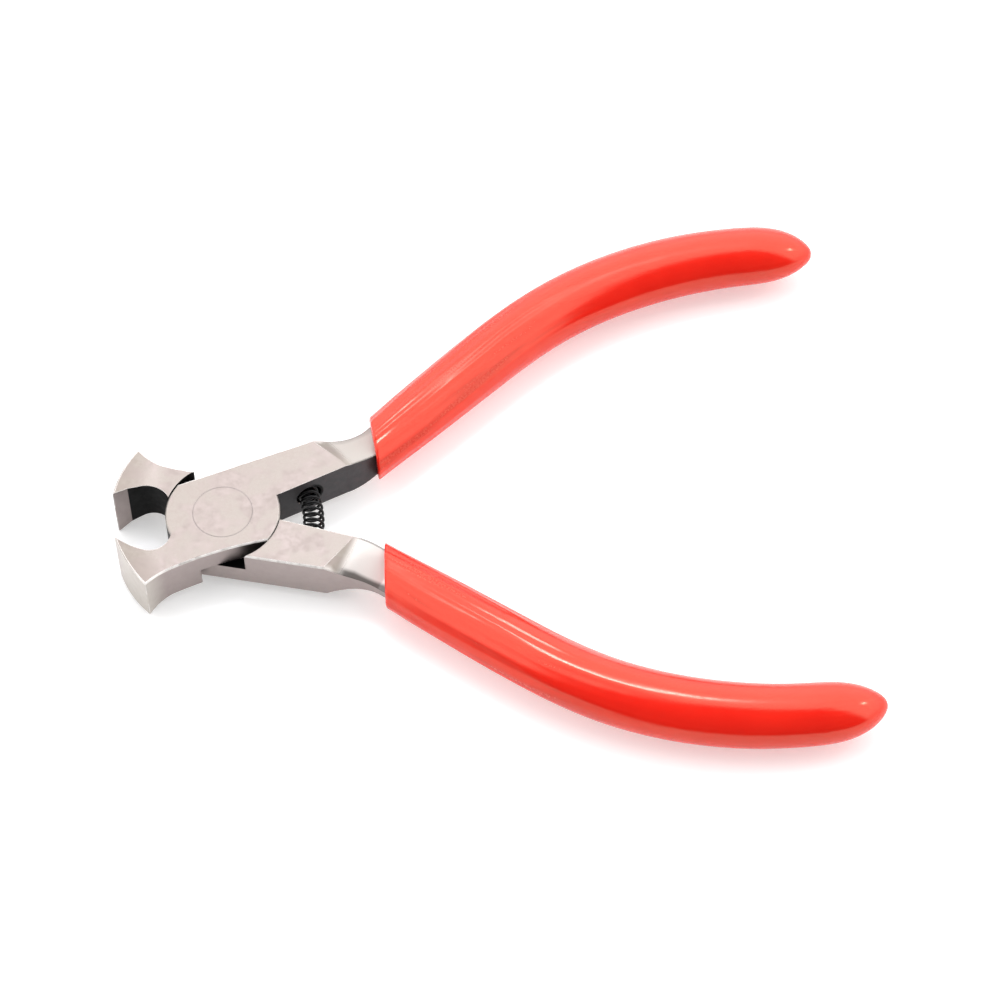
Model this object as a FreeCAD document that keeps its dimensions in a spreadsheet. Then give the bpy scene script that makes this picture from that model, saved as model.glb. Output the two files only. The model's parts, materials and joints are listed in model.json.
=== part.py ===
"""Mini end-cutting nipper, 115 mm long, with a riveted lap joint, a coil return spring and dipped sleeves.

The tool has two identical forged halves. Each is a jaw, a half-thickness lap disc, a shank and a tang in
one piece. The second half is the first one turned over, 180 degrees about the tool's long axis, so the two
lap discs stack.

Each half and each sleeve is modelled in a half frame: the pivot axis is Z through the origin, Z = 0 is the
tool's middle plane, the jaw points to -X on the -Y side, and the cutting edge lies on the X axis when the
jaws are closed. Placements turn the halves apart by the opening angle and lift the tool to stand on Z = 0.
"""
import FreeCAD, Part

import math
import os

import Sketcher
from FreeCAD import Vector

OUTPUT_FOLDER = "parts"
Z_AXIS = Vector(0, 0, 1)

# How a sketch names its own origin and axes in a constraint.
ORIGIN_POINT = (-1, 1)
HORIZONTAL_AXIS = -1
VERTICAL_AXIS = -2

# Which side of its chord an arc bulges to, walking along the outline.
LEFT = 1
RIGHT = -1

# Driving dimensions, in millimetres and degrees. Each becomes a cell of the spreadsheet.
DIMENSIONS = {
    # where the tool stands
    "pivot_x": -38.085,
    "pivot_z": 4.93,
    "half_open_angle": 13.3,
    # lap joint
    "joint_thickness": 6.84,
    "lap_radius": 8.4,
    "recess_radius": 8.48,
    "lap_gap": 0.04,
    # jaw outline, from the cutting edge round the front to the arm
    "edge_x": -16.2,
    "edge_y": -0.03,
    "front_radius": 20.7,
    "corner_x": -14.15,
    "corner_y": -8.84,
    "flank_radius": 10.0,
    "arm_x": -10.0,
    "arm_y": -6.98,
    "arm_radius": 55.0,
    "arm_end_x": 4.88,
    "arm_end_y": -6.84,
    # shank outline
    "crotch_x": 8.39,
    "crotch_y": 0.22,
    "inner_end_x": 19.35,
    "inner_end_y": 1.75,
    "outer_end_x": 15.9,
    "outer_end_y": 7.8,
    "back_x": -4.94,
    "back_y": 6.79,
    # throat behind the cutting bevel
    "throat_start_x": -8.28,
    "throat_start_y": -1.4,
    "throat_radius": 3.4,
    "throat_x": -12.6,
    "throat_y": -2.73,
    "bevel_x": -14.4,
    "bevel_y": -1.7,
    # the blade is wider than the joint is thick, and flares out to its front
    "blade_width": 10.0,
    "flare_start_x": -9.6,
    "flare_radius": 14.6,
    "edge_break": 0.22,
    # rivet
    "rivet_radius": 3.0,
    "rivet_head_radius": 4.35,
    "rivet_head_depth": 1.35,
    "rivet_clearance": 0.04,
    # return spring and its sockets
    "socket_x": 13.2,
    "socket_radius": 1.95,
    "socket_floor_y": 4.55,
    "spring_end_gap": 0.06,
    "coil_radius": 1.39,
    "wire_radius": 0.21,
    "coil_turns": 15.0,
    # handle centreline: a straight run, a bow and a tail
    "handle_start_x": 24.7,
    "handle_start_y": 5.48,
    "handle_angle": 26.0,
    "handle_run": 24.8,
    "bow_radius": 62.0,
    "bow_end": -8.0,
    "tail_radius": 70.0,
    # tang: its root against the shank's end, then its constant section
    "root_land": 3.47,
    "root_crown_radius": 100.0,
    "tang_outer": 3.0,
    "tang_inner": 2.25,
    "tang_outer_land": 0.65,
    "tang_inner_land": 2.0,
    "tang_crown_radius": 30.0,
    "tang_start": 0.8,
    "tang_end": -16.1,
    "cavity_end": -16.3,
    "sleeve_clearance": 0.06,
    # sleeve
    "sleeve_width": 10.1,
    "sleeve_thickness": 8.5,
    "dip_tilt": 9.2,
}

# Sections of the tang between its root and the stretch of constant section: x, y, heading,
# reach to the outer and inner side, half height of the outer and inner land, crown radius.
TANG_SECTIONS = [
    (19.6, 4.75, 26.0, 3.3, 3.2, 2.2, 3.2, 60.0),
    (21.6, 4.85, 26.0, 3.15, 2.85, 1.4, 2.85, 40.0),
    (23.5, 5.15, 26.0, 3.05, 2.5, 0.95, 2.4, 33.0),
]

# The tang's constant section, in the same order.
TANG_MEASURES = [
    "Sizes.tang_outer",
    "Sizes.tang_inner",
    "Sizes.tang_outer_land",
    "Sizes.tang_inner_land",
    "Sizes.tang_crown_radius",
]

# Sections of the sleeve: the part of the path it is on, the distance or heading there,
# and its width and thickness as fractions of the full sleeve's.
SLEEVE_SECTIONS = [
    ("run", -6.0, 0.83, 0.83),
    ("run", 0.0, 0.85, 0.85),
    ("run", 10.0, 0.91, 0.91),
    ("run", 22.0, 0.95, 0.95),
    ("bow", 15.0, 0.98, 0.98),
    ("bow", 3.0, 1.00, 1.00),
    ("bow", -6.0, 0.98, 1.00),
    ("tail", -12.1, 0.95, 0.97),
    ("tail", -15.6, 0.90, 0.92),
    ("tail", -17.8, 0.78, 0.80),
    ("tail", -19.5, 0.59, 0.61),
    ("tail", -20.6, 0.39, 0.41),
    ("tail", -21.15, 0.24, 0.26),
    ("tail", -21.42, 0.09, 0.10),
]

document = FreeCAD.newDocument("end_nipper")
sheet = document.addObject("Spreadsheet::Sheet", "Sizes")
for row, (alias, number) in enumerate(DIMENSIONS.items(), start=1):
    sheet.set(f"A{row}", alias)
    sheet.set(f"B{row}", str(number))
    sheet.setAlias(f"B{row}", alias)
document.recompute()


# ------------------------------------------------------------------ helpers

def size(alias):
    """Read one driving dimension from the sheet."""
    return float(sheet.get(alias))


def evaluate(expression):
    """Work out an expression of the sheet's cells as a number."""
    result = sheet.evalExpression(expression)
    return float(getattr(result, "Value", result))


def new_body(label):
    """Start a sub-part; its label names its file."""
    body = document.addObject("PartDesign::Body", label)
    body.Label = label
    return body


def new_sketch(body, name, role):
    """Start a sketch on one of the body's own origin planes."""
    sketch = body.newObject("Sketcher::SketchObject", name)
    plane = next(item for item in body.Origin.OriginFeatures if item.Role == role)
    sketch.AttachmentSupport = [(plane, "")]
    sketch.MapMode = "FlatFace"
    return sketch


def bind(sketch, kind, references, expression):
    """Add one dimension to a sketch and bind it to its expression."""
    index = sketch.addConstraint(Sketcher.Constraint(kind, *references, evaluate(expression)))
    sketch.setExpression(f"Constraints[{index}]", expression)


def bind_point(sketch, geometry, end, x, y):
    """Fix a vertex of a sketch at two expressions, or on an axis where one is zero."""
    for kind, expression, axis in (("DistanceX", x, VERTICAL_AXIS), ("DistanceY", y, HORIZONTAL_AXIS)):
        if expression == "0":
            sketch.addConstraint(Sketcher.Constraint("PointOnObject", geometry, end, axis))
        else:
            bind(sketch, kind, (*ORIGIN_POINT, geometry, end), expression)


def arc_between(start, end, radius, side):
    """The short arc from start to end, bulging to one side of its chord."""
    chord = end - start
    normal = Z_AXIS.cross(chord).normalize() * side
    sagitta = radius - math.sqrt(radius**2 - (chord.Length / 2) ** 2)
    return Part.Arc(start, (start + end) / 2 + normal * sagitta, end)


def draw_outline(sketch, corners):
    """Draw a closed outline. A corner is (x, y), or (x, y, radius, side) where an arc leaves it."""
    points = [Vector(evaluate(corner[0]), evaluate(corner[1]), 0) for corner in corners]
    starts = []
    ends = []
    for index, corner in enumerate(corners):
        start = points[index]
        end = points[(index + 1) % len(points)]
        if len(corner) == 2:
            geometry = sketch.addGeometry(Part.LineSegment(start, end))
        else:
            geometry = sketch.addGeometry(arc_between(start, end, evaluate(corner[2]), corner[3]))
        forward = sketch.getPoint(geometry, 1).distanceToPoint(start) < 1e-6
        starts.append((geometry, 1 if forward else 2))
        ends.append((geometry, 2 if forward else 1))
    for index, corner in enumerate(corners):
        sketch.addConstraint(Sketcher.Constraint("Coincident", *ends[index - 1], *starts[index]))
        bind_point(sketch, *starts[index], corner[0], corner[1])
        if len(corner) == 4:
            bind(sketch, "Radius", (starts[index][0],), corner[2])


def draw_circle(sketch, x, y, radius):
    """Draw one circle."""
    circle = Part.Circle(Vector(evaluate(x), evaluate(y), 0), Z_AXIS, evaluate(radius))
    geometry = sketch.addGeometry(circle)
    bind_point(sketch, geometry, 3, x, y)
    bind(sketch, "Radius", (geometry,), radius)


def draw_ellipse(sketch, width, thickness):
    """Draw one ellipse about the sketch's origin, its width along the sketch's x axis."""
    ellipse = Part.Ellipse(Vector(), evaluate(width) / 2, evaluate(thickness) / 2)
    geometry = sketch.addGeometry(ellipse)
    sketch.exposeInternalGeometry(geometry)
    major = geometry + 1
    minor = geometry + 2
    sketch.addConstraint(Sketcher.Constraint("Coincident", geometry, 3, *ORIGIN_POINT))
    sketch.addConstraint(Sketcher.Constraint("Horizontal", major))
    bind(sketch, "Distance", (major,), width)
    bind(sketch, "Distance", (minor,), thickness)


def change_solid(body, kind, name, sketch, **settings):
    """Add a feature made from a sketch, and stop if it leaves the solid as it was."""
    before = body.Shape.Volume if body.Tip else 0.0
    feature = body.newObject(f"PartDesign::{kind}", name)
    feature.Profile = (sketch, [""])
    for setting, value in settings.items():
        setattr(feature, setting, value)
    document.recompute()
    if abs(body.Shape.Volume - before) < 1e-3:
        raise RuntimeError(f"{name} changes nothing")
    return feature


def bind_property(item, setting, expression):
    """Bind one property of a feature and rebuild."""
    item.setExpression(setting, expression)
    document.recompute()


# ------------------------------------------------------------------ handle path

def handle_station(stretch, place):
    """Centre x, centre y and heading on the handle's path, as expressions.

    The place is a distance on the straight run, and a heading on the bow and the tail.
    """
    run_x = "Sizes.handle_start_x + {} * cos(Sizes.handle_angle)"
    run_y = "Sizes.handle_start_y + {} * sin(Sizes.handle_angle)"
    if stretch == "run":
        return run_x.format(place), run_y.format(place), "Sizes.handle_angle"
    bow_x = run_x.format("Sizes.handle_run") + " + Sizes.bow_radius * sin(Sizes.handle_angle)"
    bow_y = run_y.format("Sizes.handle_run") + " - Sizes.bow_radius * cos(Sizes.handle_angle)"
    if stretch == "bow":
        return (
            f"{bow_x} - Sizes.bow_radius * sin({place})",
            f"{bow_y} + Sizes.bow_radius * cos({place})",
            str(place),
        )
    tail_x = f"{bow_x} + (Sizes.tail_radius - Sizes.bow_radius) * sin(Sizes.bow_end)"
    tail_y = f"{bow_y} - (Sizes.tail_radius - Sizes.bow_radius) * cos(Sizes.bow_end)"
    return (
        f"{tail_x} - Sizes.tail_radius * sin({place})",
        f"{tail_y} + Sizes.tail_radius * cos({place})",
        str(place),
    )


def section_sketch(body, name, x, y, heading):
    """Start an upright sketch across the handle; its x axis points to the handle's outer side."""
    sketch = new_sketch(body, name, "YZ_Plane")
    turn = f"rotation(vector(0; 1; 0); {heading})"
    sketch.setExpression("AttachmentOffset", f"placement(vector({y}; 0; {x}); {turn})")
    document.recompute()
    return sketch


def draw_tang_section(sketch, measures, clearance):
    """Draw the tang's section, a crowned top and bottom between two lands, grown by a clearance."""
    outer, inner, outer_land, inner_land, crown_radius = [f"({item} + {clearance})" for item in measures]
    draw_outline(
        sketch,
        [
            (outer, outer_land, crown_radius, RIGHT),
            (f"-{inner}", inner_land),
            (f"-{inner}", f"-{inner_land}", crown_radius, RIGHT),
            (outer, f"-{outer_land}"),
        ],
    )


def add_tang_rod(body, kind, name, clearance, end_heading):
    """Run the tang's constant section along the handle's path, grown on every side by a clearance."""
    start = handle_station("run", "Sizes.tang_start")
    bow_start = handle_station("bow", "Sizes.handle_angle")
    tail_start = handle_station("tail", "Sizes.bow_end")
    end = handle_station("tail", end_heading)
    section = section_sketch(body, f"{name}_section", *start)
    draw_tang_section(section, TANG_MEASURES, clearance)
    path = new_sketch(body, f"{name}_path", "XY_Plane")
    draw_path(
        path,
        [
            (start, bow_start),
            (bow_start, tail_start, "Sizes.bow_radius"),
            (tail_start, end, "Sizes.tail_radius"),
        ],
    )
    document.recompute()
    change_solid(body, kind, name, section, Spine=(path, [""]))


def draw_path(sketch, stretches):
    """Draw an open path of straight runs and arcs that bulge to the left."""
    previous = None
    for start, end, *radius in stretches:
        first = Vector(evaluate(start[0]), evaluate(start[1]), 0)
        last = Vector(evaluate(end[0]), evaluate(end[1]), 0)
        if radius:
            geometry = sketch.addGeometry(arc_between(first, last, evaluate(radius[0]), LEFT))
        else:
            geometry = sketch.addGeometry(Part.LineSegment(first, last))
        forward = sketch.getPoint(geometry, 1).distanceToPoint(first) < 1e-6
        if previous:
            sketch.addConstraint(Sketcher.Constraint("Coincident", *previous, geometry, 1 if forward else 2))
        else:
            bind_point(sketch, geometry, 1 if forward else 2, start[0], start[1])
        previous = (geometry, 2 if forward else 1)
        bind_point(sketch, *previous, end[0], end[1])
        if radius:
            bind(sketch, "Radius", (geometry,), radius[0])


def add_tang_root(body, kind, name, clearance):
    """Blend the shank's square end into the tang's constant section, grown by a clearance."""
    end_run = "(Sizes.inner_end_x - Sizes.outer_end_x)"
    end_rise = "(Sizes.outer_end_y - Sizes.inner_end_y)"
    half_end = f"sqrt({end_run}^2 + {end_rise}^2) / 2"
    root = [
        "(Sizes.inner_end_x + Sizes.outer_end_x) / 2",
        "(Sizes.inner_end_y + Sizes.outer_end_y) / 2",
        f"atan({end_run} / {end_rise})",
        half_end,
        half_end,
        "Sizes.root_land",
        "Sizes.root_land",
        "Sizes.root_crown_radius",
    ]
    middle = [[str(number) for number in section] for section in TANG_SECTIONS]
    start = handle_station("run", "Sizes.tang_start")
    sketches = []
    for index, row in enumerate([root, *middle, [*start, *TANG_MEASURES]], start=1):
        x, y, heading, *measures = row
        sketch = section_sketch(body, f"{name}_section_{index}", x, y, heading)
        draw_tang_section(sketch, measures, clearance)
        sketches.append(sketch)
    document.recompute()
    loft(body, kind, name, sketches)


def loft(body, kind, name, sketches):
    """Run a loft through a row of sections."""
    return change_solid(body, kind, name, sketches[0], Sections=[(item, [""]) for item in sketches[1:]])


# ------------------------------------------------------------------ forged half

def draw_half_outline(sketch):
    """The jaw, lap and shank seen from above, walking from the cutting edge round the jaw's front."""
    draw_outline(
        sketch,
        [
            ("Sizes.edge_x", "Sizes.edge_y", "Sizes.front_radius", RIGHT),
            ("Sizes.corner_x", "Sizes.corner_y", "Sizes.flank_radius", LEFT),
            ("Sizes.arm_x", "Sizes.arm_y", "Sizes.arm_radius", LEFT),
            ("Sizes.arm_end_x", "Sizes.arm_end_y", "Sizes.lap_radius", RIGHT),
            ("Sizes.crotch_x", "Sizes.crotch_y"),
            ("Sizes.inner_end_x", "Sizes.inner_end_y"),
            ("Sizes.outer_end_x", "Sizes.outer_end_y"),
            ("Sizes.back_x", "Sizes.back_y", "Sizes.lap_radius", RIGHT),
            ("Sizes.throat_start_x", "Sizes.throat_start_y", "Sizes.throat_radius", LEFT),
            ("Sizes.throat_x", "Sizes.throat_y"),
            ("Sizes.bevel_x", "Sizes.bevel_y"),
        ],
    )


def draw_flare_waste(sketch, side):
    """What is cut off above the flared jaw and the flat joint, seen from the side."""
    blade_rise = "(Sizes.blade_width - Sizes.joint_thickness) / 2"
    flat = f"{side} * Sizes.joint_thickness / 2"
    front = "Sizes.flare_start_x - sqrt(Sizes.flare_radius^2 - (Sizes.flare_radius - blade_rise)^2)"
    front = front.replace("blade_rise", f"({blade_rise})")
    outside = f"{side} * Sizes.blade_width"
    draw_outline(
        sketch,
        [
            (front, f"{side} * Sizes.blade_width / 2", "Sizes.flare_radius", -side * LEFT),
            ("Sizes.flare_start_x", flat),
            ("Sizes.inner_end_x + 8", flat),
            ("Sizes.inner_end_x + 8", outside),
            (front, outside),
        ],
    )


def make_half(label):
    """One forging in the half frame, with its lap in the upper layer."""
    body = new_body(label)
    outline = new_sketch(body, "half_outline", "XY_Plane")
    draw_half_outline(outline)
    pad = change_solid(body, "Pad", "forging", outline, Midplane=True, Length=1.0)
    bind_property(pad, "Length", "Sizes.blade_width")
    add_tang_root(body, "AdditiveLoft", "tang_root", "0")
    add_tang_rod(body, "AdditivePipe", "tang_rod", "0", "Sizes.tang_end")
    for name, side in (("top_flare", 1), ("bottom_flare", -1)):
        waste = new_sketch(body, f"{name}_outline", "XZ_Plane")
        draw_flare_waste(waste, side)
        change_solid(body, "Pocket", name, waste, Type="ThroughAll", Midplane=True)
    recess = new_sketch(body, "recess_outline", "XY_Plane")
    recess.setExpression("AttachmentOffset.Base.z", "Sizes.lap_gap / 2")
    draw_circle(recess, "0", "0", "Sizes.recess_radius")
    change_solid(body, "Pocket", "lap_recess", recess, Type="ThroughAll")
    socket = new_sketch(body, "socket_outline", "XZ_Plane")
    draw_circle(socket, "Sizes.socket_x", "0", "Sizes.socket_radius")
    pocket = change_solid(body, "Pocket", "spring_socket", socket, Length=5.0)
    bind_property(pocket, "Length", "Sizes.socket_floor_y")
    rivet_hole = new_sketch(body, "rivet_hole_outline", "XZ_Plane")
    draw_rivet_hole(rivet_hole)
    axis = (rivet_hole, ["V_Axis"])
    change_solid(body, "Groove", "rivet_hole", rivet_hole, ReferenceAxis=axis, Angle=360.0)
    break_edges(body)
    return body


def is_outer_rim(edge):
    """Whether an edge follows the outer rim of a ground face, clear of throat, recess and tang root."""
    if len(edge.Vertexes) < 2:
        return False
    start, end = (vertex.Point for vertex in edge.Vertexes)
    middle = edge.valueAt((edge.FirstParameter + edge.LastParameter) / 2)
    rim_height = size("joint_thickness") / 2 - 0.01
    if min(abs(start.z), abs(end.z)) < rim_height or start.z * end.z < 0:
        return False
    if abs(start.x - end.x) < 0.01 or max(start.x, end.x) > size("outer_end_x") + 0.01:
        return False
    if abs(math.hypot(middle.x, middle.y) - size("recess_radius")) < 0.01:
        return False
    on_front = middle.x < size("bevel_x") and middle.y < size("bevel_y")
    before_lap = size("edge_x") < middle.x < size("throat_start_x")
    in_throat = before_lap and middle.y > size("throat_y") - 0.5
    return on_front or not in_throat


def break_edges(body):
    """Chamfer the outer rims of the ground faces."""
    edges = enumerate(body.Shape.Edges, start=1)
    names = [f"Edge{number}" for number, edge in edges if is_outer_rim(edge)]
    chamfer = body.newObject("PartDesign::Chamfer", "broken_edges")
    chamfer.Base = (body.Group[-2], names)
    chamfer.setExpression("Size", "Sizes.edge_break")
    document.recompute()


def draw_rivet_hole(sketch):
    """Half the section of the rivet's hole, a running clearance larger than the rivet."""
    shaft = "Sizes.rivet_radius + Sizes.rivet_clearance"
    head = "Sizes.rivet_head_radius + Sizes.rivet_clearance"
    face = "Sizes.joint_thickness / 2"
    draw_outline(
        sketch,
        [
            ("0", "-Sizes.joint_thickness / 4"),
            (shaft, "-Sizes.joint_thickness / 4"),
            (shaft, f"{face} - Sizes.rivet_head_depth"),
            (head, face),
            (head, f"{face} + 1"),
            ("0", f"{face} + 1"),
        ],
    )


# ------------------------------------------------------------------ rivet, spring and sleeves

def make_rivet(label):
    """A solid rivet with a flush countersunk head at each end."""
    body = new_body(label)
    section = new_sketch(body, "rivet_section", "XZ_Plane")
    face = "Sizes.joint_thickness / 2"
    draw_outline(
        section,
        [
            ("0", f"-{face}"),
            ("Sizes.rivet_head_radius", f"-{face}"),
            ("Sizes.rivet_radius", f"-{face} + Sizes.rivet_head_depth"),
            ("Sizes.rivet_radius", f"{face} - Sizes.rivet_head_depth"),
            ("Sizes.rivet_head_radius", face),
            ("0", face),
        ],
    )
    axis = (section, ["V_Axis"])
    change_solid(body, "Revolution", "rivet", section, ReferenceAxis=axis, Angle=360.0)
    return body


def make_sleeve(label):
    """A dipped sleeve, from its oblique dip line to its drip tip, hollow where the tang runs."""
    body = new_body(label)
    sections = []
    for index, (stretch, place, width, thickness) in enumerate(SLEEVE_SECTIONS):
        station = handle_station(stretch, place)
        sketch = section_sketch(body, f"sleeve_section_{index + 1}", *station)
        draw_ellipse(sketch, f"Sizes.sleeve_width * {width}", f"Sizes.sleeve_thickness * {thickness}")
        sections.append(sketch)
    document.recompute()
    loft(body, "AdditiveLoft", "vinyl", sections)
    waste = new_sketch(body, "dip_outline", "XY_Plane")
    turn = "rotation(vector(0; 0; 1); -Sizes.dip_tilt)"
    start = "placement(vector(Sizes.handle_start_x; Sizes.handle_start_y; 0); {})"
    waste.setExpression("AttachmentOffset", start.format(turn))
    draw_outline(waste, [("0", "-12"), ("0", "12"), ("-20", "12"), ("-20", "-12")])
    change_solid(body, "Pocket", "dip_line", waste, Type="ThroughAll", Midplane=True)
    add_tang_root(body, "SubtractiveLoft", "cavity_mouth", "Sizes.sleeve_clearance")
    add_tang_rod(body, "SubtractivePipe", "cavity", "Sizes.sleeve_clearance", "Sizes.cavity_end")
    return body


def spring_axis(distance):
    """Point and heading on the spring's axis, a distance from its middle, measured from the pivot.

    The middle stretch is an arc that is square to both shanks, and each end runs straight into a socket.
    """
    opening = math.radians(size("half_open_angle"))
    mouth_y = size("socket_x") * math.sin(opening) + socket_mouth() * math.cos(opening)
    mouth_x = size("socket_x") * math.cos(opening) - socket_mouth() * math.sin(opening)
    arc_radius = mouth_y / math.sin(opening)
    half_arc = arc_radius * opening
    turn = max(-opening, min(opening, distance / arc_radius))
    centre_x = mouth_x - arc_radius * math.cos(opening)
    straight = math.copysign(max(0.0, abs(distance) - half_arc), distance)
    x = centre_x + arc_radius * math.cos(turn) - straight * math.sin(turn)
    y = arc_radius * math.sin(turn) + straight * math.cos(turn)
    return x, y, turn


def socket_mouth():
    """Height of the shank's inner face over the tool's axis at the spring socket."""
    run = size("inner_end_x") - size("crotch_x")
    rise = size("inner_end_y") - size("crotch_y")
    return size("crotch_y") + rise * (size("socket_x") - size("crotch_x")) / run


def spring_half_length():
    """From the spring's middle to its end at a socket floor."""
    opening = math.radians(size("half_open_angle"))
    mouth_y = size("socket_x") * math.sin(opening) + socket_mouth() * math.cos(opening)
    in_socket = size("socket_floor_y") - socket_mouth() - size("spring_end_gap") - size("wire_radius")
    return mouth_y / math.sin(opening) * opening + in_socket


def make_spring(label):
    """A coil spring whose axis bends from one socket into the other."""
    steps_per_turn = 12
    half_length = spring_half_length()
    steps = round(size("coil_turns") * steps_per_turn)
    points = []
    for step in range(steps + 1):
        along = step / steps
        x, y, heading = spring_axis(half_length * (2 * along - 1))
        angle = 2 * math.pi * size("coil_turns") * along
        outwards = size("coil_radius") * math.cos(angle)
        points.append(
            Vector(
                x + outwards * math.cos(heading),
                y + outwards * math.sin(heading),
                size("coil_radius") * math.sin(angle),
            )
        )
    curve = Part.BSplineCurve()
    curve.interpolate(points)
    path = Part.Wire([curve.toShape()])
    start = Part.Circle(points[0], curve.tangent(curve.FirstParameter)[0], size("wire_radius"))
    coil = path.makePipeShell([Part.Wire([start.toShape()])], True, True)
    spring = document.addObject("Part::Feature", label)
    spring.Label = label
    spring.Shape = coil
    return spring


# ------------------------------------------------------------------ assembly

AT_PIVOT = "placement(vector(Sizes.pivot_x; 0; Sizes.pivot_z); {})"
UPPER_HALF = AT_PIVOT.format("rotation(vector(0; 0; 1); Sizes.half_open_angle)")
LOWER_HALF = AT_PIVOT.format(
    "rotation(vector(0; 0; 1); -Sizes.half_open_angle) * rotation(vector(1; 0; 0); 180)"
)
UNTURNED = AT_PIVOT.format("rotation(vector(0; 0; 1); 0)")


def main():
    parts = []
    for side, placement in (("right", UPPER_HALF), ("left", LOWER_HALF)):
        half = make_half(f"{side}_half")
        half.setExpression("Placement", placement)
        sleeve = make_sleeve(f"{side}_grip_sleeve")
        sleeve.setExpression("Placement", placement)
        parts += [half, sleeve]
    rivet = make_rivet("joint_rivet")
    rivet.setExpression("Placement", LOWER_HALF)
    parts.append(rivet)
    spring = make_spring("return_spring")
    spring.setExpression("Placement", UNTURNED)
    parts.append(spring)
    document.recompute()
    check_document()
    os.makedirs(OUTPUT_FOLDER, exist_ok=True)
    for part in parts:
        part.Shape.exportStep(os.path.join(OUTPUT_FOLDER, f"{part.Label}.step"))
        box = part.Shape.BoundBox
        print(
            f"{part.Label}: {part.Shape.Volume:.1f} mm3, {len(part.Shape.Solids)} solid,"
            f" x {box.XMin:.2f} to {box.XMax:.2f}, y {box.YMin:.2f} to {box.YMax:.2f},"
            f" z {box.ZMin:.2f} to {box.ZMax:.2f}"
        )


def check_document():
    """Stop if any object failed to build, or is empty or invalid."""
    for item in document.Objects:
        if "Invalid" in item.State or "Error" in item.State:
            raise RuntimeError(f"{item.Name} failed to build")
        if item.isDerivedFrom("PartDesign::Body") or item.TypeId == "Part::Feature":
            if item.Shape.isNull() or not item.Shape.isValid():
                raise RuntimeError(f"{item.Label} has a bad shape")


main()
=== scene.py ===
"""Looks of the flush end cutter: ground steel halves, a black return spring and dipped red vinyl sleeves."""

import json
import math
from types import SimpleNamespace

import bpy
import numpy as np
from mathutils import Matrix, Vector
from mathutils.bvhtree import BVHTree


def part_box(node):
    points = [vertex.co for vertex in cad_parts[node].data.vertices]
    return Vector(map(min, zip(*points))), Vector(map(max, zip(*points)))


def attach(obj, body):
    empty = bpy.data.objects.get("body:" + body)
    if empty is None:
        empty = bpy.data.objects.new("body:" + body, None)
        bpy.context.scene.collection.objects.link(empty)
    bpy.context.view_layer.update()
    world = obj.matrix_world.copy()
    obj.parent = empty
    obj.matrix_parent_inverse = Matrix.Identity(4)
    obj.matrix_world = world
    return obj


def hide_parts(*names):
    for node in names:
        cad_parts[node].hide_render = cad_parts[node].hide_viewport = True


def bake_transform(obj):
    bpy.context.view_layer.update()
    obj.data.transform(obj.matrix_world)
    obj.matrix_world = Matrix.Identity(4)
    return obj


MM = 0.001

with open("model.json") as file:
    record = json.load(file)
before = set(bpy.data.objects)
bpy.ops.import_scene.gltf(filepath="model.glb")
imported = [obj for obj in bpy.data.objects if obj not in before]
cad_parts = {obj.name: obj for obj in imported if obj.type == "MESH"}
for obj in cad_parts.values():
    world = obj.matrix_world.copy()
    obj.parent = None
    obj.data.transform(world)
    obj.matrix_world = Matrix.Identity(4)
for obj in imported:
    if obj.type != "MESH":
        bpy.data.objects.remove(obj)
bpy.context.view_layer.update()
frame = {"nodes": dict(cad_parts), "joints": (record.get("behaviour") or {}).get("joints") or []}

PIVOT = Vector(frame["joints"][0]["pos_m"])
HALF_OPENING = math.radians(frame["joints"][0]["range_deg"][1] / 2)
NODES = frame["nodes"]


# ------------------------------------------------------------------ helpers

def half_matrix(side):
    """From a half's own frame to the row frame. The left half is the right one turned over."""
    turn = Matrix.Rotation(HALF_OPENING, 4, "Z")
    if side == "left":
        turn = Matrix.Rotation(-HALF_OPENING, 4, "Z") @ Matrix.Rotation(math.pi, 4, "X")
    return Matrix.Translation(PIVOT) @ turn


def grid_faces(rows, columns):
    """Quads of a grid that closes round its columns."""
    faces = []
    for row in range(rows - 1):
        for column in range(columns):
            after = (column + 1) % columns
            low = row * columns
            high = low + columns
            faces.append((low + column, low + after, high + after, high + column))
    return faces


def new_piece(name, points, faces, material):
    """Make a smooth mesh object and give it its material."""
    mesh = bpy.data.meshes.new(name)
    mesh.from_pydata([tuple(point) for point in points], [], faces)
    mesh.validate()
    mesh.materials.append(material)
    mesh.polygons.foreach_set("use_smooth", [True] * len(mesh.polygons))
    piece = bpy.data.objects.new(name, mesh)
    bpy.context.scene.collection.objects.link(piece)
    return piece


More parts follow.
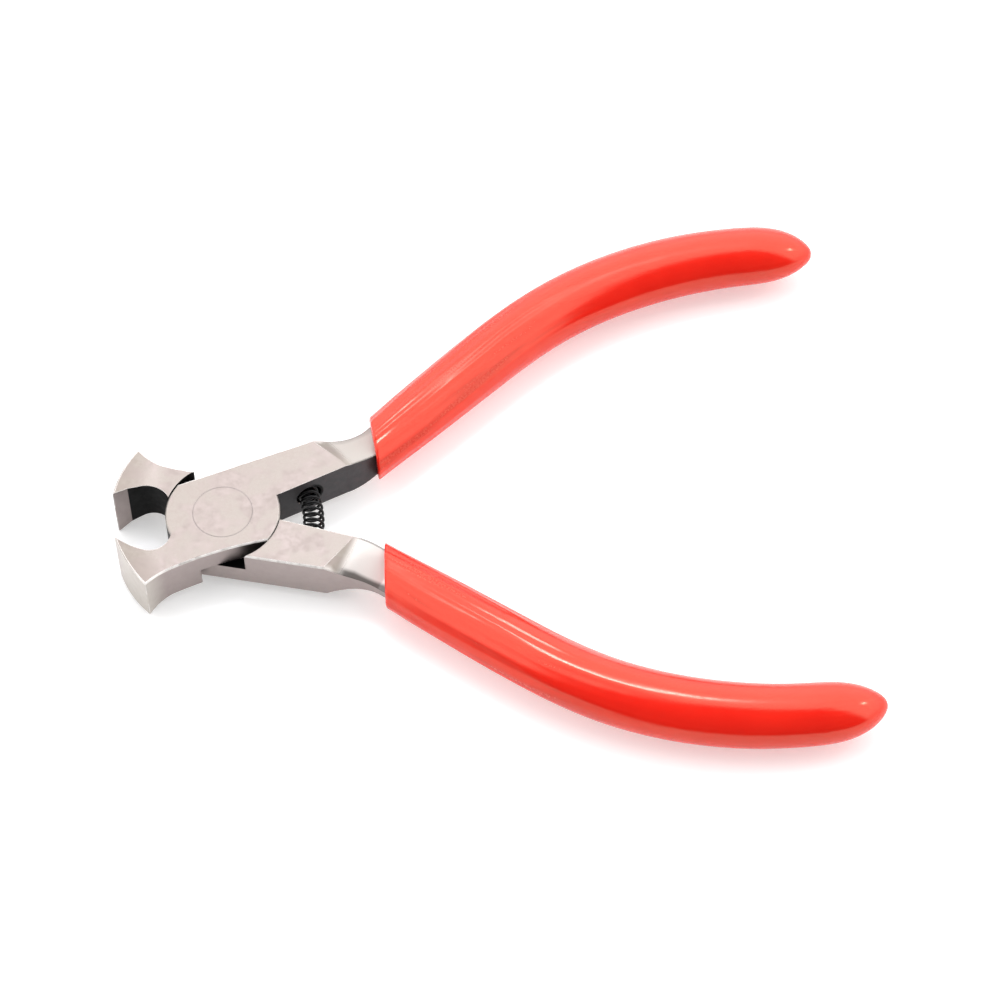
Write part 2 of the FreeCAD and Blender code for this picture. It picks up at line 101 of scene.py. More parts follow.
class Nodes:
    """A short way to write a node tree."""

    def __init__(self, tree):
        self.tree = tree

    def add(self, kind, **properties):
        """Add a node and set its properties."""
        node = self.tree.nodes.new(f"ShaderNode{kind}")
        for name, value in properties.items():
            setattr(node, name, value)
        return node

    def feed(self, node, socket, value):
        """Link one input, or set it. A colour is given without its alpha."""
        entry = node.inputs[socket]
        if isinstance(value, bpy.types.NodeSocket):
            self.tree.links.new(value, entry)
        elif entry.type == "RGBA":
            entry.default_value = (*value, 1.0)
        else:
            entry.default_value = value

    def feed_all(self, node, values):
        """Link or set several inputs."""
        for socket, value in values.items():
            self.feed(node, socket, value)

    def math(self, operation, first, second=0.0):
        """One arithmetic step."""
        node = self.add("Math", operation=operation)
        self.feed_all(node, {0: first, 1: second})
        return node.outputs[0]

    def product(self, *factors):
        """All the factors multiplied together."""
        result = factors[0]
        for factor in factors[1:]:
            result = self.math("MULTIPLY", result, factor)
        return result

    def most(self, *values):
        """The greatest of several values."""
        result = values[0]
        for value in values[1:]:
            result = self.math("MAXIMUM", result, value)
        return result

    def gap(self, first, second):
        """How far two values are apart."""
        return self.math("ABSOLUTE", self.math("SUBTRACT", first, second))

    def distance(self, first, second):
        """Length of a flat vector."""
        squares = self.math("ADD", self.product(first, first), self.product(second, second))
        return self.math("SQRT", squares)

    def coordinates(self, kind="Object"):
        """Texture coordinates. The Object kind is the piece's own place in metres."""
        return self.add("TexCoord").outputs[kind]

    def plain_normal(self):
        """The surface's normal before any bump."""
        return self.add("NewGeometry").outputs["Normal"]

    def turned(self, vector, location, rotation):
        """A vector of the row frame, as it reads in a frame with this place and turn."""
        node = self.add("Mapping", vector_type="TEXTURE")
        self.feed_all(node, {"Vector": vector, "Location": location, "Rotation": rotation})
        return node.outputs[0]

    def split(self, vector):
        """A vector's three parts."""
        node = self.add("SeparateXYZ")
        self.feed(node, 0, vector)
        return node.outputs

    def join(self, x, y, z):
        """A vector from its three parts."""
        node = self.add("CombineXYZ")
        self.feed_all(node, {0: x, 1: y, 2: z})
        return node.outputs[0]

    def noise(self, vector, scale, detail, roughness, distortion=0.0):
        """Noise about 0.5."""
        node = self.add("TexNoise")
        self.feed_all(node, {"Vector": vector, "Scale": scale, "Detail": detail})
        self.feed_all(node, {"Roughness": roughness, "Distortion": distortion})
        return node.outputs[0]

    def ramp(self, value, low, high, start=0.0, end=1.0):
        """Map a value's range smoothly onto another, held at both ends."""
        node = self.add("MapRange", interpolation_type="SMOOTHSTEP")
        self.feed_all(node, {"Value": value, "From Min": low, "From Max": high})
        self.feed_all(node, {"To Min": start, "To Max": end})
        return node.outputs[0]

    def fade(self, mask, end):
        """A factor that is 1 off a mask and this end value on it."""
        return self.ramp(mask, 0.0, 1.0, 1.0, end)

    def mix(self, factor, first, second):
        """Mix two colours."""
        node = self.add("Mix", data_type="RGBA")
        self.feed_all(node, {0: factor, 6: first, 7: second})
        return node.outputs[2]

    def mix_vectors(self, factor, first, second):
        """Mix two vectors."""
        node = self.add("Mix", data_type="VECTOR")
        self.feed_all(node, {0: factor, 4: first, 5: second})
        return node.outputs[1]

    def edges(self, radius):
        """The normal rounded off over sharp edges, and a mask of those edges."""
        bevel = self.add("Bevel", samples=6)
        self.feed(bevel, "Radius", radius)
        product = self.add("VectorMath", operation="DOT_PRODUCT")
        self.feed_all(product, {0: bevel.outputs[0], 1: self.plain_normal()})
        return bevel.outputs[0], self.ramp(product.outputs["Value"], 0.995, 0.93)

    def bump(self, height, distance, strength, normal=None):
        """Turn a height into a normal, on top of another normal if one is given."""
        node = self.add("Bump")
        self.feed_all(node, {"Height": height, "Distance": distance, "Strength": strength})
        if normal is not None:
            self.feed(node, "Normal", normal)
        return node.outputs[0]


def new_material(name):
    """A new material, its nodes and its shader."""
    material = bpy.data.materials.new(name)
    material.use_nodes = True
    nodes = Nodes(material.node_tree)
    return material, nodes, nodes.tree.nodes["Principled BSDF"]


# ------------------------------------------------------------------ steel

STEEL_DARK = (0.260, 0.227, 0.201)
STEEL_LIGHT = (0.306, 0.272, 0.243)
STEEL_WARM = (0.278, 0.238, 0.217)
# Edges and chamfers: partly real wear, partly a painted highlight.
WORN_AND_HIGHLIGHT_COLOUR = (0.86, 0.82, 0.79)
BLADE_COLOUR = (0.53, 0.49, 0.45)
# Painted light: side faces are made lighter than the tops, for how bright they look lit.
FLANK_PAINTED_LIGHT_COLOUR = (0.365, 0.310, 0.298)
# Satin tang with painted light: its upward faces are lighter, the left half's far lighter than the right's,
# for how lit each one looks. The low metal value lets this colour show.
TANG_SATIN_AND_LIGHT_COLOUR = {"right": (0.400, 0.365, 0.335), "left": (0.76, 0.72, 0.685)}
TANG_METAL = 0.12
# Painted shade: a near-black crease line along the tang's edges.
CREST_SHADE_COLOUR = (0.035, 0.028, 0.023)
CREST_SHADE_SHARE = {"right": 0.3, "left": 1.0}
SCALE_DARK = (0.030, 0.028, 0.030)
SCALE_LIGHT = (0.060, 0.056, 0.059)
# Painted shade: the throat's scale darkened to near black.
THROAT_SHADE_COLOUR = (0.008, 0.008, 0.008)
HIDDEN_COLOUR = (0.004, 0.004, 0.004)

RIVET_RADIUS = 4.35 * MM
RECESS_RADIUS = 8.44 * MM
SOCKET_X = 13.2 * MM
SOCKET_MOUTH_Y = 0.891 * MM
EDGE_ROUNDING = 0.24 * MM
CREST_ROUNDING = 0.6 * MM

# A half's own frame, as the Euler turn that the Mapping node takes. The rivet has no side and isn't turned.
HALF_TURN = {"right": (0.0, 0.0, HALF_OPENING), "left": (math.pi, 0.0, -HALF_OPENING), None: (0.0, 0.0, 0.0)}

# Where looks change on a half. Each mask fades in from the first value to the second.
BLADE_X = (-10.5 * MM, -14.0 * MM)
TANG_X = (17.4 * MM, 19.0 * MM)
CREST_X = (18.5 * MM, 20.0 * MM)
CREST_Y = (6.4 * MM, 7.15 * MM)
INNER_FACE_X = (7.9 * MM, 8.3 * MM)
THROAT_FRONT_X = (-14.45 * MM, -14.35 * MM)
THROAT_BACK_X = (-6.0 * MM, -7.5 * MM)
THROAT_Y = (-3.7 * MM, -3.5 * MM)
OUTER_LAYER_Z = (1.0 * MM, 1.6 * MM)
LEDGE_Z = (0.2 * MM, 0.1 * MM)
SOCKET_WALL = (2.5 * MM, 2.2 * MM)
SOCKET_MOUTH = (SOCKET_MOUTH_Y, SOCKET_MOUTH_Y + 0.2 * MM)
SOCKET_END_Y = (5.2 * MM, 5.0 * MM)

# The same for distances off the rim of the rivet's head and off the rim of the lap recess.
RIVET_LINE = (0.22 * MM, 0.04 * MM)
RIVET_KEPT_SHARP = (0.5 * MM, 0.3 * MM)
RIVET_CLEAR = (0.3 * MM, 0.6 * MM)
RECESS_CLEAR = (0.3 * MM, 0.6 * MM)
DISC_RIM = (0.6 * MM, 0.3 * MM)
LAP_WALL = (0.12 * MM, 0.06 * MM)

# How far a face's normal leans, as its upright part. 1 is a face that looks straight up or down.
FLAT = (0.8, 0.9)
CHAMFER_TOP = (0.84, 0.79)
CHAMFER_FOOT = (0.5, 0.6)
FLANK = (0.5, 0.2)

# The tang starts on a slant. A distance along the slant is the same as x where y is SLANT_Y.
TANG_SLANT = 0.33
SLANT_Y = 8.0 * MM

# The band of painted crest shade runs level up to BOW_X, and moves outwards behind it.
BOW_X = 20.5 * MM
BOW_SLOPE = 0.25


def steel_spot(nodes, side):
    """A point on the steel: its place and normal in its half's frame, distances, noises and edges."""
    place = nodes.coordinates()
    spot = SimpleNamespace(side=side)
    spot.x, spot.y, spot.z = nodes.split(nodes.turned(place, PIVOT, HALF_TURN[side]))
    facing = nodes.turned(nodes.coordinates("Normal"), (0.0, 0.0, 0.0), HALF_TURN[side])
    spot.normal = nodes.split(facing)
    spot.upright = nodes.math("ABSOLUTE", spot.normal[2])
    spot.height = nodes.math("ABSOLUTE", spot.z)
    spot.radius = nodes.distance(spot.x, spot.y)
    spot.off_rivet = nodes.gap(spot.radius, RIVET_RADIUS)
    spot.off_recess = nodes.gap(spot.radius, RECESS_RADIUS)
    spot.mottle = nodes.noise(place, 900.0, 4.0, 0.6)
    spot.patches = nodes.noise(place, 260.0, 2.0, 0.5, 0.4)
    spot.grain = nodes.noise(place, 9000.0, 2.0, 0.6)
    spot.rounded, spot.edge = nodes.edges(EDGE_ROUNDING)
    return spot


def ground_colour(nodes, spot):
    """Mottled steel, with the fine dark line round the rivet's head."""
    colour = nodes.mix(nodes.ramp(spot.mottle, 0.35, 0.65), STEEL_DARK, STEEL_LIGHT)
    colour = nodes.mix(nodes.ramp(spot.patches, 0.42, 0.6), colour, STEEL_WARM)
    ring = nodes.product(nodes.ramp(spot.off_rivet, *RIVET_LINE), nodes.ramp(spot.upright, *FLAT), 0.14)
    return nodes.mix(ring, colour, SCALE_LIGHT)


def blade_mask(nodes, spot):
    """The bright ground side of the blade."""
    return nodes.product(
        nodes.ramp(spot.x, *BLADE_X),
        nodes.ramp(spot.upright, 0.6, 0.3),
        nodes.ramp(spot.normal[1], 0.1, -0.2),
    )


def slanted_x(nodes, spot):
    """Distance along the half, measured on the slant of the tang's root."""
    return nodes.math("ADD", spot.x, nodes.product(nodes.math("SUBTRACT", spot.y, SLANT_Y), TANG_SLANT))


def crest_shade_mask(nodes, spot):
    """Painted shade: the dark line along the tang's edges, wider along its outer edge, stronger on the left
    half.
    """
    bow = nodes.product(nodes.math("MAXIMUM", nodes.math("SUBTRACT", spot.x, BOW_X), 0.0), BOW_SLOPE)
    reach = nodes.math("SUBTRACT", spot.y, bow)
    return nodes.most(
        nodes.product(nodes.edges(CREST_ROUNDING)[1], nodes.ramp(spot.x, *CREST_X)),
        nodes.product(nodes.ramp(reach, *CREST_Y), CREST_SHADE_SHARE[spot.side]),
    )


def facing_mask(nodes, spot):
    """How squarely a face looks towards the pivot, or away from it."""
    outward = nodes.math(
        "ADD", nodes.product(spot.x, spot.normal[0]), nodes.product(spot.y, spot.normal[1])
    )
    return nodes.math("ABSOLUTE", nodes.math("DIVIDE", outward, spot.radius))


def wear_and_highlight_mask(nodes, spot, facing):
    """Edges and chamfers lightened, partly by real rubbing and partly as a painted highlight, with little of
    it on the lap disc's rim and round the rivet.
    """
    disc_rim = nodes.product(nodes.ramp(spot.off_recess, *DISC_RIM), nodes.ramp(facing, 0.60, 0.68))
    chamfer = nodes.product(nodes.ramp(spot.upright, *CHAMFER_TOP), nodes.ramp(spot.upright, *CHAMFER_FOOT))
    rubbed_and_highlit = nodes.product(spot.edge, nodes.ramp(spot.off_recess, *RECESS_CLEAR, 0.25, 1.0))
    return nodes.product(
        nodes.most(rubbed_and_highlit, nodes.product(chamfer, nodes.fade(disc_rim, 0.2))),
        nodes.ramp(slanted_x(nodes, spot), *TANG_X, 1.0, 0.0),
        nodes.ramp(spot.mottle, 0.3, 0.6, 0.6, 1.0),
        nodes.ramp(spot.height, *OUTER_LAYER_Z),
        nodes.ramp(spot.off_rivet, *RIVET_CLEAR, 0.1, 1.0),
    )


def inner_face_mask(nodes, spot):
    """The shank's face towards the other shank."""
    return nodes.product(nodes.ramp(spot.x, *INNER_FACE_X), nodes.ramp(spot.normal[1], -0.45, -0.75))


def throat_mask(nodes, spot):
    """The hollow behind the cutting edges."""
    return nodes.product(
        nodes.ramp(spot.x, *THROAT_FRONT_X),
        nodes.ramp(spot.x, *THROAT_BACK_X),
        nodes.ramp(spot.y, *THROAT_Y),
        nodes.ramp(spot.upright, 0.75, 0.5),
    )


def hidden_mask(nodes, spot, facing):
    """Faces inside the joint and the spring's socket, where hardly any light gets in."""
    lap_wall = nodes.product(nodes.ramp(facing, 0.96, 0.99), nodes.ramp(spot.off_recess, *LAP_WALL))
    ledge = nodes.product(nodes.ramp(spot.height, *LEDGE_Z), nodes.ramp(spot.upright, *FLAT))
    off_socket = nodes.distance(nodes.math("SUBTRACT", spot.x, SOCKET_X), spot.z)
    socket = nodes.product(
        nodes.ramp(off_socket, *SOCKET_WALL),
        nodes.ramp(spot.y, *SOCKET_MOUTH),
        nodes.ramp(spot.y, *SOCKET_END_Y),
    )
    return nodes.most(lap_wall, ledge, socket)


def steel_material(name, side=None):
    """Ground and tumbled steel. A half also has dark forging scale with painted shade in its hollows, edges
    lightened by rubbing and a painted highlight, side faces with painted light, and a satin tang with
    painted light and a painted dark crease.
    """
    material, nodes, shader = new_material(name)
    spot = steel_spot(nodes, side)
    colour = ground_colour(nodes, spot)
    roughness = nodes.ramp(spot.mottle, 0.3, 0.7, 0.36, 0.48)
    metal = 1.0
    bumps = nodes.math("ADD", nodes.product(spot.grain, 0.5), nodes.product(spot.mottle, 1.2))
    on_rivet_line = nodes.ramp(spot.off_rivet, *RIVET_KEPT_SHARP)
    normal = nodes.mix_vectors(on_rivet_line, spot.rounded, nodes.plain_normal())
    if side:
        # Painted light: the side faces get a lighter colour than the tops.
        colour = nodes.mix(nodes.ramp(spot.upright, *FLANK), colour, FLANK_PAINTED_LIGHT_COLOUR)
        colour = nodes.mix(blade_mask(nodes, spot), colour, BLADE_COLOUR)
        # Painted light on the tang's upward faces: a lighter, nearly non-metal colour, far lighter on the
        # left half; the satin polish is real.
        tang = nodes.product(nodes.ramp(slanted_x(nodes, spot), *TANG_X), nodes.ramp(spot.upright, 0.3, 0.6))
        colour = nodes.mix(tang, colour, TANG_SATIN_AND_LIGHT_COLOUR[side])
        colour = nodes.mix(nodes.product(crest_shade_mask(nodes, spot), tang, 0.85), colour, CREST_SHADE_COLOUR)
        facing = facing_mask(nodes, spot)
        # Painted highlight on edges and chamfers, on top of real wear; the metal is mostly turned off there
        # so the light colour shows.
        wear_and_highlight = wear_and_highlight_mask(nodes, spot, facing)
        colour = nodes.mix(wear_and_highlight, colour, WORN_AND_HIGHLIGHT_COLOUR)

        # The scale mask carries real forging scale on the inner faces and painted shade in the throat and on
        # the hidden faces.
        throat = throat_mask(nodes, spot)
        hidden = hidden_mask(nodes, spot, facing)
        scale = nodes.most(inner_face_mask(nodes, spot), throat, hidden)
        scale_and_shade_colour = nodes.mix(nodes.ramp(spot.mottle, 0.3, 0.7), SCALE_DARK, SCALE_LIGHT)
        scale_and_shade_colour = nodes.mix(throat, scale_and_shade_colour, THROAT_SHADE_COLOUR)
        scale_and_shade_colour = nodes.mix(hidden, scale_and_shade_colour, HIDDEN_COLOUR)
        colour = nodes.mix(scale, colour, scale_and_shade_colour)

        roughness = nodes.product(roughness, nodes.fade(tang, 0.42))
        roughness = nodes.math("ADD", roughness, nodes.product(scale, 0.12))
        metal = nodes.product(nodes.fade(scale, 0.2), nodes.fade(wear_and_highlight, 0.1), nodes.fade(tang, TANG_METAL))
        metal = nodes.most(metal, throat, hidden)
        bumps = nodes.product(bumps, nodes.fade(tang, 0.2))
    nodes.feed(shader, "Base Color", colour)
    nodes.feed(shader, "Roughness", roughness)
    nodes.feed(shader, "Metallic", metal)
    nodes.feed(shader, "Normal", nodes.bump(bumps, 0.03 * MM, 0.35, normal))
    return material


# ------------------------------------------------------------------ spring

SOCKET_FLOOR_Y = 4.55 * MM
SOCKET_PLAY = 0.06 * MM
COIL_RADIUS = 1.39 * MM
COIL_TURNS = 15
STEPS_PER_TURN = 40
WIRE_RADIUS = 0.21 * MM
WIRE_SPOKES = 14

# The spring's axis is an arc between the sockets' mouths, and straight inside the sockets. The mouth's
# and the arc's places are measured from the pivot.
MOUTH_X = SOCKET_X * math.cos(HALF_OPENING) - SOCKET_MOUTH_Y * math.sin(HALF_OPENING)
MOUTH_Y = SOCKET_X * math.sin(HALF_OPENING) + SOCKET_MOUTH_Y * math.cos(HALF_OPENING)
ARC_RADIUS = MOUTH_Y / math.sin(HALF_OPENING)
ARC_CENTRE_X = MOUTH_X - ARC_RADIUS * math.cos(HALF_OPENING)
STRAIGHT = SOCKET_FLOOR_Y - SOCKET_MOUTH_Y - SOCKET_PLAY - WIRE_RADIUS
HALF_SPRING = ARC_RADIUS * HALF_OPENING + STRAIGHT


def spring_material():
    """Black oxide wire."""
    material, nodes, shader = new_material("spring_wire")
    streaks = nodes.noise(nodes.coordinates(), 2500.0, 3.0, 0.6)
    nodes.feed(shader, "Base Color", nodes.mix(streaks, (0.002, 0.002, 0.002), (0.010, 0.010, 0.011)))
    nodes.feed(shader, "Roughness", nodes.ramp(streaks, 0.3, 0.7, 0.35, 0.55))
    nodes.feed(shader, "Metallic", 0.0)
    nodes.feed(shader, "Specular IOR Level", 0.3)
    nodes.feed(shader, "Normal", nodes.bump(streaks, 0.01 * MM, 0.4))
    return material


def spring_axis(distance):
    """Point and heading on the spring's axis, a distance from its middle, measured from the pivot."""
    turn = max(-HALF_OPENING, min(HALF_OPENING, distance / ARC_RADIUS))
    straight = math.copysign(max(0.0, abs(distance) - ARC_RADIUS * HALF_OPENING), distance)
    x = ARC_CENTRE_X + ARC_RADIUS * math.cos(turn) - straight * math.sin(turn)
    y = ARC_RADIUS * math.sin(turn) + straight * math.cos(turn)
    return Vector((x, y, 0.0)), turn


def wire_centres():
    """Points along the middle of the wire, each with the point of the axis that it winds round."""
    up = Vector((0, 0, 1))
    steps = COIL_TURNS * STEPS_PER_TURN
    centres = []
    for step in range(steps + 1):
        share = step / steps
        point, heading = spring_axis(HALF_SPRING * (2 * share - 1))
        outwards = Vector((math.cos(heading), math.sin(heading), 0.0))
        angle = 2 * math.pi * COIL_TURNS * share
        arm = COIL_RADIUS * (math.cos(angle) * outwards + math.sin(angle) * up)
        centres.append((PIVOT + point + arm, PIVOT + point))
    return centres


def make_spring(material):
    """The return spring as a round wire along a helix that bends from one socket into the other."""
    centres = wire_centres()
    last = len(centres) - 1
    points = []
    for index, (centre, axis_point) in enumerate(centres):
        before = centres[max(0, index - 1)][0]
        after = centres[min(last, index + 1)][0]
        tangent = (after - before).normalized()
        radial = (centre - axis_point).normalized()
        radial = (radial - radial.dot(tangent) * tangent).normalized()
        across = tangent.cross(radial)
        for spoke in range(WIRE_SPOKES):
            angle = 2 * math.pi * spoke / WIRE_SPOKES
            points.append(centre + WIRE_RADIUS * (math.cos(angle) * radial + math.sin(angle) * across))
    faces = grid_faces(len(centres), WIRE_SPOKES)
    faces.append(tuple(reversed(range(WIRE_SPOKES))))
    faces.append(tuple(range(last * WIRE_SPOKES, len(centres) * WIRE_SPOKES)))
    spring = new_piece("return_spring_coil", points, faces, material)
    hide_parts("return_spring")
    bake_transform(spring)


# ------------------------------------------------------------------ sleeves

HANDLE_START = Vector((24.7, 5.48)) * MM
HANDLE_ANGLE = math.radians(26.0)
HANDLE_RUN = 24.8 * MM
BOW_RADIUS = 62.0 * MM
BOW_END = math.radians(-8.0)
TAIL_RADIUS = 70.0 * MM
TAIL_END = math.radians(-21.42)
BOW_LENGTH = BOW_RADIUS * (HANDLE_ANGLE - BOW_END)
SLEEVE_LENGTH = HANDLE_RUN + BOW_LENGTH + TAIL_RADIUS * (BOW_END - TAIL_END)

# The mouth is cut on the slant of the dip line, and the sections turn square to the handle behind it.
DIP_TILT = math.radians(-9.2)
SETTLE_LENGTH = 14 * MM
LIP = 0.45 * MM
LIP_ROWS = 8
STATIONS = 150
SPOKES = 128
ANGLES = [2 * math.pi * spoke / SPOKES for spoke in range(SPOKES)]
RAY_LENGTH = 12 * MM
RAY_SHIFT = 0.01 * MM
TIP_GAP = 0.02 * MM

RIDGE = 0.085 * MM
RIDGE_END = 0.62
RIDGE_FADE = 0.35
SMOOTHING_PASSES = 36
SMOOTHED_SHARE = 0.85

VINYL_DARK = (0.78, 0.0130, 0.0060)
VINYL_LIGHT = (0.82, 0.0165, 0.0075)
# Painted shade in the grooves of the flow ridges.
VINYL_GROOVE_SHADE = (0.45, 0.007, 0.003)


def vinyl_material():
    """Glossy dipped vinyl, slightly translucent, with long flow ridges near the mouth and painted shade in
    their grooves.
    """
    material, nodes, shader = new_material("dipped_vinyl")
    place = nodes.coordinates()
    cloud = nodes.noise(place, 120.0, 2.0, 0.5, 0.3)
    specks = nodes.noise(place, 2600.0, 3.0, 0.65)
    turn, share = nodes.split(nodes.coordinates("UV"))[:2]
    angle = nodes.product(turn, 2 * math.pi)
    tube = nodes.join(nodes.math("COSINE", angle), nodes.math("SINE", angle), nodes.product(share, 1.2))
    ridges = nodes.noise(tube, 2.6, 2.0, 0.5)
    near_mouth = nodes.ramp(share, RIDGE_END, 0.3, 0.1, 1.0)
    # Painted shade: the ridges' grooves are darker and rougher near the mouth.
    groove_shade = nodes.product(nodes.ramp(ridges, 0.52, 0.34), near_mouth, 0.4)
    colour = nodes.mix(nodes.ramp(cloud, 0.35, 0.7), VINYL_DARK, VINYL_LIGHT)
    roughness = nodes.ramp(specks, 0.35, 0.7, 0.14, 0.19)
    height = nodes.math("ADD", nodes.product(cloud, 0.1), nodes.product(ridges, near_mouth, 0.12))
    nodes.feed(shader, "Base Color", nodes.mix(groove_shade, colour, VINYL_GROOVE_SHADE))
    nodes.feed(shader, "Roughness", nodes.math("ADD", roughness, nodes.product(groove_shade, 0.3)))
    nodes.feed(shader, "Subsurface Weight", 0.35)
    nodes.feed(shader, "Subsurface Radius", (1.0, 0.16, 0.10))
    nodes.feed(shader, "Subsurface Scale", 1.6 * MM)
    nodes.feed(shader, "IOR", 1.58)
    nodes.feed(shader, "Specular Tint", (1.0, 0.96, 0.68))
    nodes.feed(shader, "Normal", nodes.bump(height, 1.0 * MM, 0.6))
    return material


def handle_point(distance):
    """Point and heading on the handle's path, a distance past the sleeve's mouth."""
    along = Vector((math.cos(HANDLE_ANGLE), math.sin(HANDLE_ANGLE)))
    if distance <= HANDLE_RUN:
        return HANDLE_START + along * distance, HANDLE_ANGLE
    across = Vector((along.y, -along.x))
    centre = HANDLE_START + along * HANDLE_RUN + across * BOW_RADIUS
    heading = HANDLE_ANGLE - (distance - HANDLE_RUN) / BOW_RADIUS
    radius = BOW_RADIUS
    if distance > HANDLE_RUN + BOW_LENGTH:
        heading = BOW_END - (distance - HANDLE_RUN - BOW_LENGTH) / TAIL_RADIUS
        centre += (TAIL_RADIUS - BOW_RADIUS) * Vector((math.sin(BOW_END), -math.cos(BOW_END)))
        radius = TAIL_RADIUS
    return centre + radius * Vector((-math.sin(heading), math.cos(heading))), heading


def sleeve_rows():
    """Distances past the mouth of the skin's rows, close together over the lip and towards the tip."""
    rows = [LIP * (1 - math.cos(math.pi / 2 * step / LIP_ROWS)) for step in range(LIP_ROWS)]
    for step in range(STATIONS):
        share = step / (STATIONS - 1)
        if share > 0.5:
            share = 0.5 - 0.5 * math.cos(math.pi * share)
        distance = min(SLEEVE_LENGTH * share, SLEEVE_LENGTH - TIP_GAP)
        if distance > 1.1 * LIP:
            rows.append(distance)
    return rows


def unroll(mesh, rows):
    """Lay out a sleeve's faces as one turn across by its length along."""
    layout = mesh.uv_layers.new(name="unrolled")
    for face in mesh.polygons:
        if len(face.vertices) > 4:
            continue
        corners = [(vertex % SPOKES, vertex // SPOKES) for vertex in face.vertices]
        wraps = {0, SPOKES - 1} <= {column for column, row in corners}
        for loop, (column, row) in zip(face.loop_indices, corners):
            turn = SPOKES if wraps and column == 0 else column
            layout.data[loop].uv = (turn / SPOKES, rows[row] / rows[-1])


def ridge_height(angle, share):
    """Height of the long flow ridges in the dipped skin. They fade out past the middle of the sleeve."""
    fade = max(0.0, min(1.0, (RIDGE_END - share) / RIDGE_FADE))
    waves = 0.5 * math.sin(9 * angle + 4 * share) + 0.35 * math.sin(15 * angle - 7 * share + 1.0)
    waves += 0.25 * math.sin(22 * angle + 9 * share + 2.0)
    return RIDGE * fade * waves


def smooth_facets(reach, count):
    """Average the first rows with their neighbours, to soften the facets of the mesh under the skin."""
    for _ in range(SMOOTHING_PASSES):
        around = 0.5 * (np.roll(reach, 1, axis=1) + np.roll(reach, -1, axis=1))
        along = 0.5 * (np.vstack((reach[:1], reach[:-1])) + np.vstack((reach[1:], reach[-1:])))
        mean = 0.5 * reach + 0.25 * around + 0.25 * along
        reach = np.vstack((mean[:count], reach[count:]))
    return reach


def section_rays(matrix, distance):
    """A section of the sleeve: its middle, a small step along the sleeve, and its spokes' directions."""
    centre, heading = handle_point(distance)
    settle = min(1.0, distance / SETTLE_LENGTH)
    tilt = DIP_TILT + (heading - DIP_TILT) * (settle * settle * (3 - 2 * settle))
    turn = matrix.to_3x3()
    outer = turn @ Vector((-math.sin(tilt), math.cos(tilt), 0.0))
    upper = turn @ Vector((0.0, 0.0, 1.0))
    shift = turn @ Vector((math.cos(tilt), math.sin(tilt), 0.0)) * RAY_SHIFT
    rays = [(math.cos(angle) * outer + math.sin(angle) * upper).normalized() for angle in ANGLES]
    return matrix @ Vector((centre.x, centre.y, 0.0)), shift, rays


def make_sleeve(side, material):
    """A dipped sleeve with a rounded lip and flow ridges, laid on the CAD sleeve's skin."""
    node = f"{side}_grip_sleeve"
    skin = BVHTree.FromObject(NODES[node], bpy.context.evaluated_depsgraph_get())
    rows = sleeve_rows()
    sections = [section_rays(half_matrix(side), distance) for distance in rows]
    reach = np.zeros((len(rows), SPOKES))
    for index, (middle, shift, rays) in enumerate(sections):
        for spoke, ray in enumerate(rays):
            hit = skin.ray_cast(middle + shift + ray * RAY_LENGTH, -ray)[0]
            if hit is not None:
                reach[index, spoke] = (hit - middle).dot(ray)
    reach = smooth_facets(reach, sum(distance < SMOOTHED_SHARE * SLEEVE_LENGTH for distance in rows))
    points = []
    for index, distance in enumerate(rows):
        drop = max(0.0, 1 - distance / LIP)
        lip = LIP * (1 - math.sqrt(1 - drop * drop))
        middle, shift, rays = sections[index]
        for spoke, ray in enumerate(rays):
            inset = lip + RIDGE - ridge_height(ANGLES[spoke], distance / SLEEVE_LENGTH)
            points.append(middle + ray * max(0.0, float(reach[index, spoke]) - inset))
    faces = grid_faces(len(rows), SPOKES)
    faces.append(tuple(range((len(rows) - 1) * SPOKES, len(rows) * SPOKES)))
    faces.append(tuple(reversed(range(SPOKES))))
    sleeve = new_piece(f"{node}_skin", points, faces, material)
    unroll(sleeve.data, rows)
    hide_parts(node)
    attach(sleeve, f"{side}_arm")


# ------------------------------------------------------------------ studio

AZIMUTH = math.radians(-3.7)
ELEVATION = math.radians(56.2)
ROLL = math.radians(-1.9)
CAMERA_DISTANCE = 587.3 * MM
AIM_RIGHT = 40.38 * MM
AIM_UP = 1.72 * MM
SENSOR_WIDTH = 36.0
LENS = 145.26
CLIP_START = 0.01
CLIP_END = 20.0

FLOOR_REACH = 3.0
FLOOR_DROP = 0.02 * MM
FLOOR_GREY = 0.70
FLOOR_GLOW = 0.42
WORLD_SPREAD = 0.875
WORLD_LEAN = 0.125
WORLD_DARK = 0.14
WORLD_BRIGHT = 2.35
HORIZON_SHARE = 0.60


def place_camera():
    """Look down on the tool from the near handle's side, with a long lens."""
    back = Vector(
        (
            math.sin(AZIMUTH) * math.cos(ELEVATION),
            -math.cos(AZIMUTH) * math.cos(ELEVATION),
            math.sin(ELEVATION),
        )
    )
    level_right = Vector((math.cos(AZIMUTH), math.sin(AZIMUTH), 0.0))
    level_up = back.cross(level_right)
    right = math.cos(ROLL) * level_right + math.sin(ROLL) * level_up
    up = math.cos(ROLL) * level_up - math.sin(ROLL) * level_right
    joint_top = Vector((PIVOT.x, PIVOT.y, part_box("joint_rivet")[1].z))
    aim = joint_top + AIM_RIGHT * right + AIM_UP * up
    data = bpy.data.cameras.new("camera")
    data.sensor_width = SENSOR_WIDTH
    data.lens = LENS
    data.clip_start = CLIP_START
    data.clip_end = CLIP_END
    camera = bpy.data.objects.new("camera", data)
    turn = Matrix((right, up, back)).transposed().to_4x4()
    camera.matrix_world = Matrix.Translation(aim + CAMERA_DISTANCE * back) @ turn
    bpy.context.scene.collection.objects.link(camera)
    bpy.context.scene.camera = camera


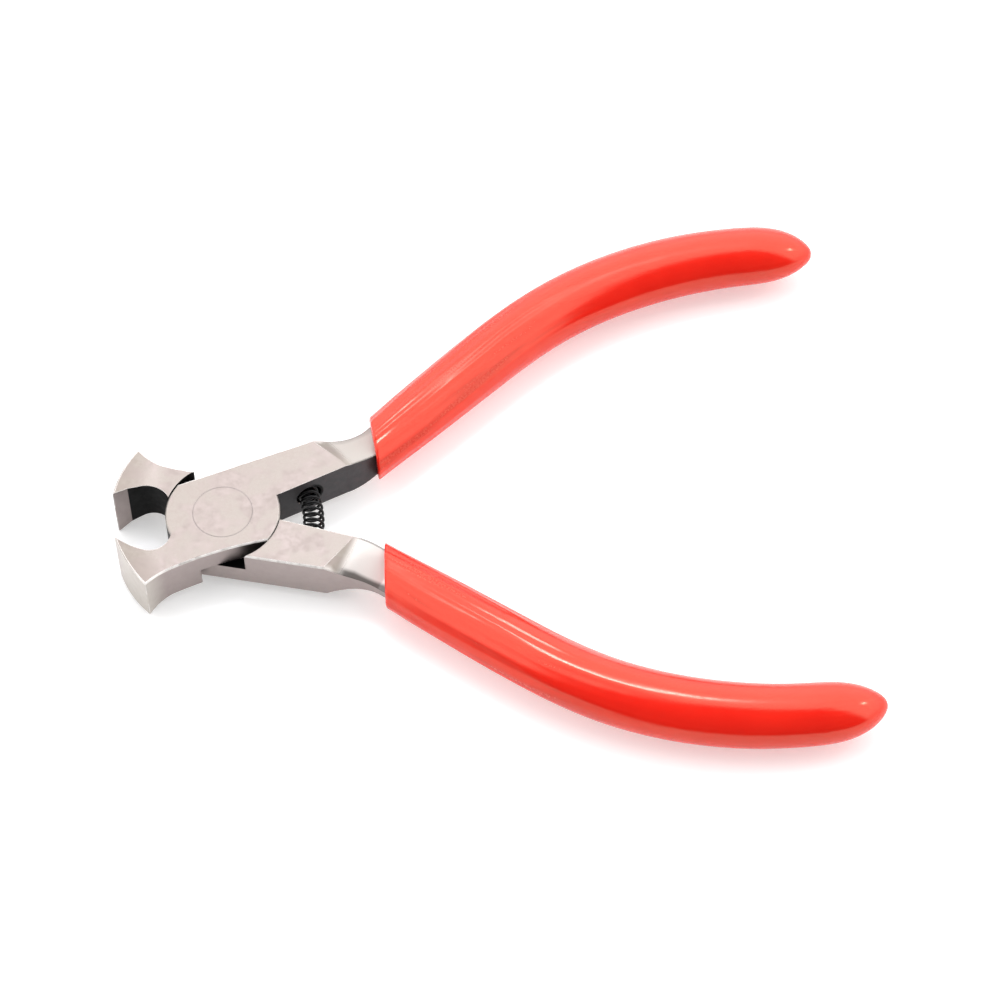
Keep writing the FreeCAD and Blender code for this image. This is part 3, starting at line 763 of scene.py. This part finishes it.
def add_light(name, location, width, height, power, colour=(1.0, 1.0, 1.0)):
    """Add one soft rectangular light that points at the middle of the floor."""
    data = bpy.data.lights.new(name, "AREA")
    data.shape = "RECTANGLE"
    data.size = width
    data.size_y = height
    data.energy = power
    data.color = colour
    light = bpy.data.objects.new(name, data)
    light.location = location
    light.rotation_euler = (-Vector(location)).to_track_quat("-Z", "Y").to_euler()
    bpy.context.scene.collection.objects.link(light)


def make_world():
    """A studio that is bright behind and at the sides, dark in front and overhead, and dimmer low down."""
    world = bpy.data.worlds.new("studio")
    world.use_nodes = True
    nodes = Nodes(world.node_tree)
    x, y, z = nodes.split(nodes.coordinates("Generated"))
    spread = nodes.product(nodes.math("ABSOLUTE", x), WORLD_SPREAD)
    lean = nodes.product(x, WORLD_LEAN)
    behind = nodes.math("ADD", nodes.math("ADD", y, spread), lean)
    brightness = nodes.ramp(behind, 0.05, 0.25, WORLD_DARK, WORLD_BRIGHT)
    horizon = nodes.ramp(z, 0.02, 0.50, HORIZON_SHARE, 1.0)
    background = nodes.tree.nodes["Background"]
    nodes.feed(background, "Color", (1.0, 1.0, 1.0))
    nodes.feed(background, "Strength", nodes.product(brightness, horizon))
    bpy.context.scene.world = world


def make_floor():
    """A plain white table top, just below the tool."""
    mesh = bpy.data.meshes.new("floor")
    corners = [(-1, -1), (1, -1), (1, 1), (-1, 1)]
    mesh.from_pydata([(FLOOR_REACH * x, FLOOR_REACH * y, 0) for x, y in corners], [], [(0, 1, 2, 3)])
    material, nodes, shader = new_material("white_table")
    nodes.feed(shader, "Base Color", (FLOOR_GREY, FLOOR_GREY, FLOOR_GREY))
    nodes.feed(shader, "Emission Color", (1.0, 1.0, 1.0))
    nodes.feed(shader, "Emission Strength", FLOOR_GLOW)
    nodes.feed(shader, "Roughness", 0.6)
    nodes.feed(shader, "Specular IOR Level", 0.1)
    mesh.materials.append(material)
    floor = bpy.data.objects.new("floor", mesh)
    floor.location.z = -FLOOR_DROP
    bpy.context.scene.collection.objects.link(floor)


# ------------------------------------------------------------------ make everything

def dress(node, material):
    """Give a CAD piece its material."""
    node.data.materials.clear()
    node.data.materials.append(material)


for side in ("right", "left"):
    dress(NODES[f"{side}_half"], steel_material(f"{side}_steel", side))
dress(NODES["joint_rivet"], steel_material("rivet_steel_ground"))
vinyl = vinyl_material()
make_sleeve("right", vinyl)
make_sleeve("left", vinyl)
make_spring(spring_material())
make_floor()
make_world()
place_camera()
add_light("key", location=(0.02, 0.30, 0.66), width=0.11, height=0.08, power=0.60, colour=(1.0, 1.0, 1.2))
add_light("tip", location=(0.50, 0.07, 0.46), width=0.06, height=0.05, power=0.25)
bpy.context.scene.view_settings.view_transform = "Standard"
